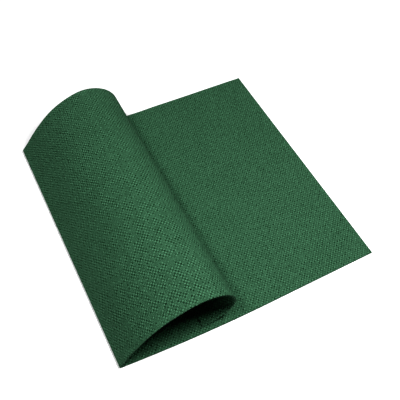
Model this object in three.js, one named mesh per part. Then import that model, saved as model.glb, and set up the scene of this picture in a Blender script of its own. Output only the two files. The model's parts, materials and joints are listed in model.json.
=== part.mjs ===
// A square mat of woven cloth, creased along its left edge and rolled back over itself.
//
// Millimetres. X runs from the crease to the open right edge, Y from front to back, Z up.
// The origin is the middle of the box that the folded mat fills, on the surface it lies on.
//
// The mat is one piece of cloth. The half that lies flat is one panel, and the half that turns
// over it is a chain of flat strips. Each strip turns about a fold line on its inner face, so
// the bends only ever open on their outer side and the whole chain can lie flat.

import * as THREE from 'three';

// The cloth
const MAT_DEPTH = 300; // front edge to back edge
const BASE_WIDTH = 300; // right edge to crease
const CLOTH = 2; // thickness
const CLOTH_GREEN = 0x2c5f41;

// Clearances
const FOLD_GAP = 0.3; // kept on each side of a fold line
const REST_GAP = 0.3; // between the base and the tucked cloth that lies on it

// The front edge is drawn back a little as it nears the crease, along a parabola.
const DRAW_BACK = 6.6; // at the crease
const DRAW_LENGTH = 165; // from the crease to where the edge runs straight
const ROLL_FRONT_INSET = 7; // the rolled half's front edge, behind the base's

// The rolled half, from the crease to its free end. Each stretch turns at an even rate.
// The rise has no length of its own: it is as long as brings the tucked end onto the base.
const LEAVE_ANGLE = 58; // degrees between the base and the cloth where it leaves the crease
const STRETCHES = [
  { name: 'rise_strip', turn: 0, count: 1 },
  { name: 'crown_strip', turn: 46, count: 2, length: 69 },
  { name: 'nose_strip', turn: 87, count: 3, length: 62 },
  { name: 'tuck_strip', turn: 105, count: 3, length: 51 },
  { name: 'tucked_end', turn: 0, count: 1, length: 6 },
];

const radians = THREE.MathUtils.degToRad;

/** The strips from the crease on. Headings are in degrees above +X. The rise has no length yet. */
function planStrips() {
  const strips = [];
  let heading = LEAVE_ANGLE;
  for (const { name, turn, count, length } of STRETCHES) {
    for (let i = 0; i < count; i += 1) {
      strips.push({
        name: count > 1 ? `${name}_${i + 1}` : name,
        heading: heading - (turn * (i + 0.5)) / count,
        length: length ? length / count : null,
      });
    }
    heading -= turn;
  }
  return strips;
}

/** Gives the rise the length that brings the tucked end down to its resting height. */
function fitRise(strips) {
  const climbOf = (strip) => Math.sin(radians(strip.heading));
  const rise = strips.filter((strip) => strip.length === null);
  const rest = strips.filter((strip) => strip.length !== null);
  const fall = rest.reduce((sum, strip) => sum + strip.length * climbOf(strip), 0);
  const climb = rise.reduce((sum, strip) => sum + climbOf(strip), 0);
  const endHeight = REST_GAP + CLOTH; // the tucked end's inner face above the base's top
  for (const strip of rise) strip.length = (endHeight - fall) / climb;
}

function clothMaterial() {
  return new THREE.MeshStandardMaterial({ color: CLOTH_GREEN, roughness: 0.95, metalness: 0 });
}

/** The half that lies flat, with the drawn-back front edge. */
function basePanel(creaseX) {
  const front = -MAT_DEPTH / 2;
  const back = MAT_DEPTH / 2;
  const left = creaseX + FOLD_GAP;
  const right = creaseX + BASE_WIDTH;
  const outline = new THREE.Shape();
  outline.moveTo(right, front);
  outline.lineTo(right, back);
  outline.lineTo(left, back);
  outline.lineTo(left, front + DRAW_BACK);
  outline.quadraticCurveTo(creaseX + DRAW_LENGTH / 2, front, creaseX + DRAW_LENGTH, front);
  const shape = { depth: CLOTH, bevelEnabled: false, curveSegments: 12 };
  const panel = new THREE.Mesh(new THREE.ExtrudeGeometry(outline, shape), clothMaterial());
  panel.name = 'base_panel';
  return panel;
}

/** One strip, whose fold line is its own Y axis and whose inner face is its own XY plane. */
function clothStrip({ name, heading, length }) {
  const depth = MAT_DEPTH - ROLL_FRONT_INSET;
  const geometry = new THREE.BoxGeometry(length - 2 * FOLD_GAP, depth, CLOTH);
  geometry.translate(length / 2, ROLL_FRONT_INSET / 2, CLOTH / 2);
  const strip = new THREE.Mesh(geometry, clothMaterial());
  strip.name = name;
  strip.rotation.y = -radians(heading);
  return strip;
}

/** The rolled half, laid strip after strip from the crease. */
function rolledHalf(strips, creaseX) {
  const roll = new THREE.Group();
  roll.position.set(creaseX, 0, CLOTH);
  let x = 0;
  let z = 0;
  for (const plan of strips) {
    const strip = clothStrip(plan);
    strip.position.set(x, 0, z);
    roll.add(strip);
    x += plan.length * Math.cos(radians(plan.heading));
    z += plan.length * Math.sin(radians(plan.heading));
  }
  return roll;
}

const strips = planStrips();
fitRise(strips);
const firstHeading = radians(strips[0].heading);
// How far the first strip's thickness stands out past the crease
const overhang = CLOTH * Math.sin(firstHeading) - FOLD_GAP * Math.cos(firstHeading);
const creaseX = (overhang - BASE_WIDTH) / 2;

const mat = new THREE.Group();
mat.add(basePanel(creaseX), rolledHalf(strips, creaseX));

export default mat;
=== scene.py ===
# The looks of a mat of woven cloth, creased along its left edge and rolled back over itself.
#
# The cloth is modelled once, as a whole, along the chain of fold lines that the frame gives. It is
# then cut at the middle of each strip, so that each piece spans one joint and the pieces
# meet edge to edge. Metres throughout, in the frame's own axes.

import json
import math

import bpy
import numpy as np
from mathutils import Matrix, Vector

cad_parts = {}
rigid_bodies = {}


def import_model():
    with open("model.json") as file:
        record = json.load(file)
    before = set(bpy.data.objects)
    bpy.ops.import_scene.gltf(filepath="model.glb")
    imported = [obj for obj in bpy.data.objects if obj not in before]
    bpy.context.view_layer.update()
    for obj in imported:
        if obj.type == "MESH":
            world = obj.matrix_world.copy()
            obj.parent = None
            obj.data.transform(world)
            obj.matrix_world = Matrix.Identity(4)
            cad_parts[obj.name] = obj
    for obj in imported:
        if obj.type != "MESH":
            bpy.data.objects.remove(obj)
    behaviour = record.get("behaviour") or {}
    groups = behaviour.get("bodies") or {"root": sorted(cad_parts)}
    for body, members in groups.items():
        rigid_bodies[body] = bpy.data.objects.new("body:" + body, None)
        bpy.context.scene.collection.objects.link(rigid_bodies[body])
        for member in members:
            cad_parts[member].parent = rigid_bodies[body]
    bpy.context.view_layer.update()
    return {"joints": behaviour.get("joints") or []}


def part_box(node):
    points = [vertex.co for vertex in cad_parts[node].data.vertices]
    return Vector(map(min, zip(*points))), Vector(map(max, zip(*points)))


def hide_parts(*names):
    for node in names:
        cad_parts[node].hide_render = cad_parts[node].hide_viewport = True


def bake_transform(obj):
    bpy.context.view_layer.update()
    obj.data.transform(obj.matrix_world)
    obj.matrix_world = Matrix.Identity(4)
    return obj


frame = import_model()

MM = 0.001

# The camera, in the frame's axes
CAMERA_AT = (-0.18661, -0.30555, 0.53833)
CAMERA_RIGHT = (0.88295, -0.46545, 0.06124)
CAMERA_FORWARD = (0.30324, 0.46585, -0.83128)
CAMERA_LENS = 49.943  # mm
CAMERA_SENSOR = 36.0  # mm

# The cloth
GRID = 2.0 * MM  # mesh spacing
CREASE_RADIUS = 0.4 * MM  # on the inner face
CREASE_STEPS = 14
BEND_STEPS = 6  # the fewest in the bend between two strips
EDGE_RADIUS = 0.5 * MM  # softening of the cut edges
EDGE_STEPS = 3
DRAW_LENGTH = 165 * MM  # of the front edge, which is drawn back towards the crease
# The rolled half stands a little fuller at its front edge, and leaner at its back edge.
BELLY_FRONT = 1.2 * MM
BELLY_BACK = -2.5 * MM
BELLY_AT = 50 * MM  # from the crease, where it is most
# Cloth never lies quite true.
WAVES = [  # (height, wavelength along the cloth, wavelength from front to back, phase)
    (0.10 * MM, 0.090, 0.170, 0.4),
    (0.07 * MM, 0.055, -0.120, 2.1),
    (0.05 * MM, 0.040, 0.062, 4.0),
]
WAVES_FROM = 30 * MM  # they fade out this near the crease and the cut ends
NO_LENGTH = 1e-12  # what a normal of no length is divided by


def unit(degrees):
    """The unit vector (x, z) at that angle above +X."""
    return np.array([math.cos(math.radians(degrees)), math.sin(math.radians(degrees))])


def fold_chain():
    """The fold lines (x, z) in order from the crease, and the two bodies that each joins."""
    joints = {j["parent"]: j for j in frame["joints"]}
    children = {j["child"] for j in frame["joints"]}
    body = next(name for name in joints if name not in children)
    chain = []
    while body in joints:
        chain.append(joints[body])
        body = joints[body]["child"]
    points = [np.array([j["pos_m"][0], j["pos_m"][2]]) for j in chain]
    return points, [(j["parent"], j["child"]) for j in chain]


FOLDS, PAIRS = fold_chain()
BASE, LAST = PAIRS[0][0], PAIRS[-1][1]
BASE_LOW, BASE_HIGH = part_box(BASE)
END_LOW, END_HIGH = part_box(LAST)
THICKNESS = BASE_HIGH.z - BASE_LOW.z
FREE_END = np.array([END_LOW.x - (FOLDS[-1][0] - END_HIGH.x), FOLDS[-1][1]])
ROLL_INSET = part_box(PAIRS[0][1])[0].y - BASE_LOW.y


def straight(a, b):
    """Points after a, up to b."""
    n = max(1, round(np.linalg.norm(b - a) / GRID))
    return [a + (b - a) * i / n for i in range(1, n + 1)]


def bend(a, corner, b):
    """Points after a, up to b, along the parabola that touches both sides of the corner."""
    length = np.linalg.norm(corner - a) + np.linalg.norm(b - corner)
    n = max(BEND_STEPS, 2 * round(length / GRID / 2))
    ts = [i / n for i in range(1, n + 1)]
    return [(1 - t) ** 2 * a + 2 * t * (1 - t) * corner + t * t * b for t in ts]


def side_line():
    """The inner face's line in side view, from the right edge to the free end, and the indices
    of the middles of the strips, where the cloth is cut into pieces."""
    stops = FOLDS + [FREE_END]
    middles = [(a + b) / 2 for a, b in zip(stops, stops[1:])]
    rise = middles[0] - FOLDS[0]
    leave = math.degrees(math.atan2(rise[1], rise[0]))
    turn = 180 - leave
    trim = CREASE_RADIUS * math.tan(math.radians(turn) / 2)
    points = [np.array([BASE_HIGH.x, THICKNESS])]
    points += straight(points[0], FOLDS[0] + [trim, 0])
    centre = points[-1] + [0, CREASE_RADIUS]
    for i in range(1, CREASE_STEPS + 1):
        points.append(centre + CREASE_RADIUS * unit(270 - turn * i / CREASE_STEPS))
    points += straight(points[-1], middles[0])
    cuts = [len(points) - 1]
    for a, corner, b in zip(middles, FOLDS[1:], middles[1:]):
        points += bend(a, corner, b)
        cuts.append(len(points) - 1)
    points += straight(points[-1], FREE_END)
    return np.array(points), cuts[:-1]


def softened_ends(points):
    """The line with extra points at both ends, where the cut edges are rounded, and how far each
    point's ring is drawn in from both faces."""
    angles = [math.pi / 2 * i / EDGE_STEPS for i in range(EDGE_STEPS + 1)]
    back = np.array([EDGE_RADIUS * (1 - math.sin(a)) for a in angles])
    drawn = np.array([EDGE_RADIUS * (1 - math.cos(a)) for a in angles])
    ways = [points[1] - points[0], points[-2] - points[-1]]
    first, last = (
        [end + way / np.linalg.norm(way) * b for b in back]
        for end, way in zip((points[0], points[-1]), ways)
    )
    line = np.array(first[::-1] + list(points[1:-1]) + last)
    inset = np.concatenate([drawn[::-1], np.zeros(len(points) - 2), drawn])
    return line, inset


def headings(line):
    """The direction of travel at each point, as unit vectors (x, z)."""
    ahead = np.diff(line, axis=0)
    ahead /= np.linalg.norm(ahead, axis=1)[:, None]
    way = np.concatenate([ahead[:1], ahead[:-1] + ahead[1:], ahead[-1:]])
    return way / np.linalg.norm(way, axis=1)[:, None]


def section():
    """The cloth's cross-section as a closed loop: for each point the share of the way from front
    to back, the distance in from that edge, and the depth below the inner face."""
    columns = round((BASE_HIGH.y - BASE_LOW.y) / GRID)
    arc = [math.pi / 2 * i / EDGE_STEPS for i in range(1, EDGE_STEPS + 1)]
    rim = [(EDGE_RADIUS * (1 - math.sin(a)), EDGE_RADIUS * (1 - math.cos(a))) for a in arc]
    rim += [(0.0, THICKNESS / 2)] + [(inset, THICKNESS - depth) for inset, depth in rim[::-1]]
    shares = [i / columns for i in range(columns + 1)]
    inner = [(s, EDGE_RADIUS * (1 - 2 * s), 0.0) for s in shares]
    outer = [(s, inset, THICKNESS) for s, inset, _ in inner[::-1]]
    back = [(1.0, -inset, depth) for inset, depth in rim]
    front = [(0.0, inset, depth) for inset, depth in rim[::-1]]
    return np.array(inner + back + outer + front)


def front_edge(x, past_crease):
    """Where the front edge is, at that x on the base or that far along the rolled half."""
    reach = np.clip((FOLDS[0][0] + DRAW_LENGTH - x) / DRAW_LENGTH, 0, 1)
    base = BASE_LOW.y + ROLL_INSET * reach**2
    return np.where(past_crease > 0, BASE_LOW.y + ROLL_INSET, base)


def swell(past_crease, share):
    """How far the rolled half stands out from the frame's line."""
    reach = np.clip(past_crease, 0, None) / BELLY_AT
    height = BELLY_FRONT + (BELLY_BACK - BELLY_FRONT) * share
    return height * reach * np.exp(1 - reach)


def unevenness(along, total, y):
    """The slow waves of the rolled half, and of the base, where they can only lift it."""
    crease_at = BASE_HIGH.x - FOLDS[0][0]
    wave = sum(
        h * np.sin(2 * math.pi * (along / a + y / b) + phase) for h, a, b, phase in WAVES
    )
    highest = sum(h for h, *_ in WAVES)
    fade = np.minimum.reduce([along, np.abs(along - crease_at), total - along]) / WAVES_FROM
    fade = np.clip(fade, 0, 1)
    fade = fade * fade * (3 - 2 * fade)
    lift = np.where(along < crease_at, -(wave + highest), wave)
    return lift * fade


def surface_normals(points):
    """The outward unit normals of points[ring, place]."""
    round_the_ring = np.roll(points, -1, axis=1) - np.roll(points, 1, axis=1)
    down_the_line = np.gradient(points, axis=0)
    normals = np.cross(round_the_ring, down_the_line)
    return normals / np.maximum(np.linalg.norm(normals, axis=2), NO_LENGTH)[:, :, None]


def cloth():
    """The whole cloth: points[ring, place], their normals and their places in the flat cloth, the
    middle line with its headings, and the rings where the cloth is cut."""
    middle, cuts = side_line()
    line, inset = softened_ends(middle)
    cuts = [c + EDGE_STEPS for c in cuts]
    way = headings(line)
    side = np.stack([-way[:, 1], way[:, 0]], 1)  # from the inner face to the outer face
    along = np.concatenate([[0], np.cumsum(np.linalg.norm(np.diff(line, axis=0), axis=1))])
    past = along - along[np.argmin(np.linalg.norm(line - FOLDS[0], axis=1))]
    share, edge_inset, depth = section().T
    front = front_edge(line[:, 0], past)[:, None]
    back = BASE_HIGH.y
    y = front + (back - front) * share + edge_inset
    y = np.clip(y, front + inset[:, None], back - inset[:, None])
    depth = np.clip(depth[None, :], inset[:, None], THICKNESS - inset[:, None])
    out = swell(past[:, None], share[None, :])
    out = out + unevenness(along[:, None], along[-1], y)
    x = line[:, :1] + side[:, :1] * (depth + out)
    z = line[:, 1:] + side[:, 1:] * (depth + out)
    points = np.stack([x, y, z], 2)
    flat = np.stack([np.broadcast_to(along[:, None], y.shape), y, depth], 2) / MM
    return points, surface_normals(points), flat, line, way, cuts


POINTS, NORMALS, FLAT, LINE, WAY, CUTS = cloth()


def cap_faces(ring, count):
    """Faces that close a ring, joining each place to the one across the cloth's thickness."""
    rim = 2 * EDGE_STEPS + 1
    columns = (count - 2 * rim) // 2
    mirror = [(2 * columns + rim - 1 - k) % count for k in range(count)]
    faces = []
    for k in range(count):
        j = (k + 1) % count
        face = [k, j, mirror[j], mirror[k]]
        face = [v for i, v in enumerate(face) if v != face[i - 1]]
        if len(face) > 2 and min(face) == k:
            faces.append([ring + v for v in face])
    return faces


def side_faces(rings, count):
    """The faces between neighbouring rings."""
    k = np.arange(count)
    j = (k + 1) % count
    bands = [
        np.stack([r * count + k, r * count + j, (r + 1) * count + j, (r + 1) * count + k], 1)
        for r in range(rings - 1)
    ]
    return np.concatenate(bands)


def sharpen_ends(mesh, rings, count):
    """Marks the edges of the first and last rings as sharp."""
    ends = np.zeros(len(mesh.edges) * 2, np.int32)
    mesh.edges.foreach_get("vertices", ends)
    ends = ends.reshape(-1, 2)
    sharp = (ends < count).all(1) | (ends >= (rings - 1) * count).all(1)
    mesh.edges.foreach_set("use_edge_sharp", sharp)


def sheet_piece(name, first, last):
    """A closed mesh of the cloth from one ring to another."""
    count = POINTS.shape[1]
    rings = last - first + 1
    sides = side_faces(rings, count)
    faces = sides.tolist()
    corner_normals = NORMALS[first : last + 1].reshape(-1, 3)[sides.ravel()]
    start_cap = cap_faces(0, count)
    end_cap = [f[::-1] for f in cap_faces((rings - 1) * count, count)]
    for cap, way in ((start_cap, -WAY[first]), (end_cap, WAY[last])):
        corners = sum(len(f) for f in cap)
        out = np.tile([way[0], 0.0, way[1]], (corners, 1))
        corner_normals = np.concatenate([corner_normals, out])
        faces += cap
    mesh = bpy.data.meshes.new(name)
    mesh.from_pydata(POINTS[first : last + 1].reshape(-1, 3).tolist(), [], faces)
    mesh.update()
    mesh.shade_smooth()
    sharpen_ends(mesh, rings, count)
    mesh.normals_split_custom_set(corner_normals.tolist())
    flat = mesh.attributes.new("cloth", "FLOAT_VECTOR", "POINT")
    flat.data.foreach_set("vector", FLAT[first : last + 1].astype(np.float32).ravel())
    piece = bpy.data.objects.new(name, mesh)
    bpy.context.scene.collection.objects.link(piece)
    return piece


def build_cloth(material):
    """The pieces, each bending across one joint."""
    stops = [0] + CUTS + [len(LINE) - 1]
    pieces = []
    for index, ((a, b), first, last) in enumerate(zip(PAIRS, stops, stops[1:])):
        piece = sheet_piece("cloth_" + (a if index == 0 else b), first, last)
        piece.data.materials.append(material)
        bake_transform(piece)
        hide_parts(*([a, b] if index == 0 else [b]))
        pieces.append((piece, first, last))
    return pieces


# ---------------------------------------------------------------- materials


YARN_DARK = (0.0044, 0.0192, 0.0072, 1)
YARN_LIGHT = (0.0880, 0.2090, 0.1250, 1)
CUT_EDGE_SHADE = 0.55  # how bright a cut edge is against the faces: painted shade on the edges
EDGE_DEPTH = (0.125, 0.5)  # mm below either face, between which the painted shade of a cut edge comes in
PITCH = (1.80, 1.94)  # mm from thread to thread, along the cloth and from front to back
# The tone runs from 0, dark yarn, to 1, light yarn. It starts from BASE_TONE, and these are added:
# painted sheen by which thread is on top, more so in places; each crossing's own shade; painted
# shade in the gaps between threads; the yarn's clumps and single fibres; and slow mottling.
BASE_TONE = 0.28
TOP_THREAD_SHEEN, UNEVEN, OWN_SHADE, GAP_SHADE = 0.37, 0.36, 0.14, 0.13
CLUMPS, FIBRES, MOTTLE = 0.06, 0.06, 0.04
UNEVEN_SIZE, CLUMP_SIZE, MOTTLE_SIZE = 3.0, 0.9, 38.0  # mm
# Between which values of its noise each of these comes in
UNEVEN_RANGE, CLUMP_RANGE, FIBRE_RANGE = (0.35, 0.65), (0.40, 0.60), (0.45, 0.75)
YARN_DIP = 0.55  # how far a thread dips before it goes under, as a share of its height
GAP_HEIGHT = 0.8  # the yarn's height below which the painted shade of the gap starts to darken it
FIBRE_TURNS = (0.35, 1.45, 2.5)  # radians
FIBRE_LENGTH, FIBRE_WIDTH = 3.2, 0.28  # mm
FIBRE_CURL = 3.6  # mm, across the whole range of the noise that bends them
THREAD_RELIEF = 0.30 * MM
FIBRE_RELIEF = 0.10 * MM
ROUGHNESS, SPECULAR = 0.95, 0.05


class Nodes:
    """A new material, and short names for building its node tree."""

    def __init__(self, name, roughness, specular):
        self.material = bpy.data.materials.new(name)
        self.material.use_nodes = True
        self.tree = self.material.node_tree
        self.shader = self.tree.nodes["Principled BSDF"]
        self.shader.inputs["Roughness"].default_value = roughness
        self.shader.inputs["Specular IOR Level"].default_value = specular

    def link(self, value, socket):
        if isinstance(value, bpy.types.NodeSocket):
            self.tree.links.new(value, socket)
        else:
            socket.default_value = value

    def math(self, operation, *values):
        made = self.tree.nodes.new("ShaderNodeMath")
        made.operation = operation
        for value, socket in zip(values, made.inputs):
            self.link(value, socket)
        return made.outputs[0]

    def vector(self, operation, a, b=None):
        made = self.tree.nodes.new("ShaderNodeVectorMath")
        made.operation = operation
        self.link(a, made.inputs[0])
        if b is not None:
            self.link(b, made.inputs["Scale" if operation == "SCALE" else 1])
        return made.outputs["Value" if operation == "LENGTH" else "Vector"]

    def split(self, vector):
        made = self.tree.nodes.new("ShaderNodeSeparateXYZ")
        self.link(vector, made.inputs[0])
        return made.outputs

    def noise(self, vector, wavelength, detail=2.0, roughness=0.5, output="Fac"):
        made = self.tree.nodes.new("ShaderNodeTexNoise")
        self.link(vector, made.inputs["Vector"])
        made.inputs["Scale"].default_value = 1 / wavelength
        made.inputs["Detail"].default_value = detail
        made.inputs["Roughness"].default_value = roughness
        return made.outputs[output]

    def spread(self, value, low, high, to_low=0.0, to_high=1.0, kind="SMOOTHSTEP"):
        made = self.tree.nodes.new("ShaderNodeMapRange")
        made.interpolation_type = kind
        for item, name in zip(
            (value, low, high, to_low, to_high),
            ("Value", "From Min", "From Max", "To Min", "To Max"),
        ):
            self.link(item, made.inputs[name])
        return made.outputs["Result"]

    def mix(self, factor, a, b):
        made = self.tree.nodes.new("ShaderNodeMix")
        made.data_type = "RGBA"
        self.link(factor, made.inputs[0])
        self.link(a, made.inputs[6])
        self.link(b, made.inputs[7])
        return made.outputs[2]


def fibres(nodes, place):
    """Short curled fibres that lie in three directions, from 0 to 1."""
    curl = nodes.noise(place, 2 * FIBRE_LENGTH, output="Color")
    curl = nodes.vector("SCALE", nodes.vector("SUBTRACT", curl, (0.5, 0.5, 0.5)), FIBRE_CURL)
    place = nodes.vector("ADD", place, curl)
    layers = []
    for turn in FIBRE_TURNS:
        mapping = nodes.tree.nodes.new("ShaderNodeMapping")
        nodes.link(place, mapping.inputs["Vector"])
        mapping.inputs["Rotation"].default_value = (0, 0, turn)
        stretched = nodes.vector(
            "MULTIPLY", mapping.outputs[0], (1 / FIBRE_LENGTH, 1 / FIBRE_WIDTH, 1 / FIBRE_WIDTH)
        )
        layers.append(nodes.noise(stretched, 1.0, detail=1.0))
    top = nodes.math("MAXIMUM", nodes.math("MAXIMUM", layers[0], layers[1]), layers[2])
    return nodes.spread(top, *FIBRE_RANGE)


def crossings(nodes, place):
    """A plain weave, where each thread goes over one and under one. Gives each crossing's own
    random number, which thread is on top there (0 or 1), and the height of the yarn."""
    scaled = nodes.vector("MULTIPLY", place, (1 / PITCH[0], 1 / PITCH[1], 0))
    cell = nodes.vector("FLOOR", scaled)
    own = nodes.tree.nodes.new("ShaderNodeTexWhiteNoise")
    nodes.link(cell, own.inputs["Vector"])
    i, j, _ = nodes.split(cell)
    top = nodes.math("FLOORED_MODULO", nodes.math("ADD", i, j), 2)
    inside = nodes.vector("SUBTRACT", scaled, nodes.vector("ADD", cell, (0.5, 0.5, 0)))
    x, y, _ = nodes.split(nodes.vector("ABSOLUTE", nodes.vector("SCALE", inside, 2)))
    across = nodes.spread(top, 0, 1, x, y, kind="LINEAR")
    along = nodes.spread(top, 0, 1, y, x, kind="LINEAR")
    rounded = nodes.math("SQRT", nodes.math("SUBTRACT", 1, nodes.math("POWER", across, 2)))
    dipping = nodes.math("MULTIPLY_ADD", nodes.math("POWER", along, 3), -YARN_DIP, 1)
    return own.outputs["Value"], top, nodes.math("MULTIPLY", rounded, dipping)


def woven():
    """A coarse plain weave of slightly hairy yarn. It is laid out in the flat cloth's own places,
    so that it runs on across the pieces, round the edges and through the thickness."""
    nodes = Nodes("woven_cloth", ROUGHNESS, SPECULAR)
    attribute = nodes.tree.nodes.new("ShaderNodeAttribute")
    attribute.attribute_name = "cloth"
    place = attribute.outputs["Vector"]
    own, top, height = crossings(nodes, place)
    strands = fibres(nodes, place)
    clump = nodes.spread(nodes.noise(place, CLUMP_SIZE, 1.0), *CLUMP_RANGE)
    slow = nodes.math("SUBTRACT", nodes.noise(place, MOTTLE_SIZE), 0.5)
    tone = nodes.math("MULTIPLY_ADD", slow, MOTTLE * 2, BASE_TONE)
    uneven = nodes.spread(
        nodes.noise(place, UNEVEN_SIZE, 0.0), *UNEVEN_RANGE, to_low=-UNEVEN, to_high=UNEVEN
    )
    # Painted sheen: the thread on top is lighter or darker, as if light caught warp and weft
    # differently, more so in places.
    sheen_contrast = nodes.math("ADD", uneven, TOP_THREAD_SHEEN)
    which = nodes.math("MULTIPLY", nodes.math("SUBTRACT", top, 0.5), sheen_contrast)
    for part, share in (
        (which, 1.0),
        (own, OWN_SHADE),
        # Painted shade in the gaps between threads: the lower the yarn, the darker.
        (nodes.spread(height, 0.0, GAP_HEIGHT), GAP_SHADE),
        (clump, CLUMPS),
        (strands, FIBRES),
    ):
        tone = nodes.math("MULTIPLY_ADD", part, share, tone)
    colour = nodes.mix(tone, YARN_DARK, YARN_LIGHT)
    depth = nodes.split(place)[2]
    inside = nodes.math("PINGPONG", depth, THICKNESS / MM / 2)
    # Painted shade: the cut edges are darkened, between EDGE_DEPTH below either face.
    edge_shade = nodes.spread(inside, *EDGE_DEPTH, to_low=1.0, to_high=CUT_EDGE_SHADE)
    nodes.link(nodes.vector("SCALE", colour, edge_shade), nodes.shader.inputs["Base Color"])
    normal = None
    for part, relief in ((height, THREAD_RELIEF), (strands, FIBRE_RELIEF)):
        bump = nodes.tree.nodes.new("ShaderNodeBump")
        bump.inputs["Distance"].default_value = relief
        nodes.link(part, bump.inputs["Height"])
        if normal is not None:
            nodes.link(normal, bump.inputs["Normal"])
        normal = bump.outputs[0]
    nodes.link(normal, nodes.shader.inputs["Normal"])
    return nodes.material


# ---------------------------------------------------------------- stage


FLOOR_HALF = 4.0  # m
FLOOR_Z = -0.2 * MM
FLOOR_COLOUR = (0.93, 0.93, 0.93, 1)
FLOOR_ROUGHNESS = 0.9
FLOOR_FADE = (0.30, 0.60)  # m from the middle, between which the floor fades into white
WHITE = 0.85  # how bright the far floor and the sky look
AMBIENT = 0.035  # how much light the sky gives
LAMPS = [  # (name, place, what it points at, size in m, watts)
    ("left", (-0.62, -0.06, 1.36), (0.0, 0.0, 0.0), 0.28, 8.8),
    ("right", (0.50, -0.10, 1.40), (0.0, 0.0, 0.0), 0.30, 6.4),
    ("front", (0.11, -0.20, 0.59), (0.06, -0.14, 0.0), 0.15, 2.3),
]


def area_light(name, at, towards, size, power):
    data = bpy.data.lights.new(name, "AREA")
    data.shape = "DISK"
    data.size = size
    data.energy = power
    lamp = bpy.data.objects.new(name, data)
    lamp.location = at
    lamp.rotation_mode = "QUATERNION"
    lamp.rotation_quaternion = (Vector(towards) - Vector(at)).to_track_quat("-Z", "Y")
    bpy.context.scene.collection.objects.link(lamp)


def floor_material():
    """Plain and pale, fading into plain white far from the object. The white lights nothing."""
    nodes = Nodes("floor", FLOOR_ROUGHNESS, specular=0.0)
    nodes.shader.inputs["Base Color"].default_value = FLOOR_COLOUR
    glow = nodes.tree.nodes.new("ShaderNodeEmission")
    glow.inputs["Strength"].default_value = WHITE
    place = nodes.tree.nodes.new("ShaderNodeTexCoord").outputs["Object"]
    far = nodes.spread(nodes.vector("LENGTH", place), *FLOOR_FADE)
    seen = nodes.tree.nodes.new("ShaderNodeLightPath").outputs["Is Camera Ray"]
    far = nodes.math("MULTIPLY", far, seen)
    blend = nodes.tree.nodes.new("ShaderNodeMixShader")
    nodes.link(far, blend.inputs[0])
    nodes.link(nodes.shader.outputs[0], blend.inputs[1])
    nodes.link(glow.outputs[0], blend.inputs[2])
    nodes.link(blend.outputs[0], nodes.tree.nodes["Material Output"].inputs["Surface"])
    return nodes.material


def sky(world):
    """White to look at, but a dim light."""
    world.use_nodes = True
    tree = world.node_tree
    background = tree.nodes["Background"]
    background.inputs["Color"].default_value = (1, 1, 1, 1)
    strength = tree.nodes.new("ShaderNodeMix")
    seen = tree.nodes.new("ShaderNodeLightPath").outputs["Is Camera Ray"]
    tree.links.new(seen, strength.inputs[0])
    strength.inputs[2].default_value = AMBIENT
    strength.inputs[3].default_value = WHITE
    tree.links.new(strength.outputs[0], background.inputs["Strength"])


def stage():
    """The floor, the sky and the lamps, and how the picture is toned."""
    scene = bpy.context.scene
    scene.view_settings.view_transform = "Standard"
    scene.view_settings.look = "High Contrast"
    mesh = bpy.data.meshes.new("floor")
    corners = [(-1, -1), (1, -1), (1, 1), (-1, 1)]
    places = [(FLOOR_HALF * x, FLOOR_HALF * y, FLOOR_Z) for x, y in corners]
    mesh.from_pydata(places, [], [(0, 1, 2, 3)])
    floor = bpy.data.objects.new("floor", mesh)
    scene.collection.objects.link(floor)
    floor.data.materials.append(floor_material())
    scene.world = bpy.data.worlds.new("studio")
    sky(scene.world)
    for lamp in LAMPS:
        area_light(*lamp)


def camera():
    data = bpy.data.cameras.new("camera")
    data.lens = CAMERA_LENS
    data.sensor_width = CAMERA_SENSOR
    made = bpy.data.objects.new("camera", data)
    right, forward = Vector(CAMERA_RIGHT), Vector(CAMERA_FORWARD)
    up = right.cross(forward)
    turn = Matrix((right, up, -forward)).transposed()
    made.matrix_world = Matrix.Translation(CAMERA_AT) @ turn.to_4x4()
    bpy.context.scene.collection.objects.link(made)
    bpy.context.scene.camera = made


pieces = build_cloth(woven())
stage()
camera()
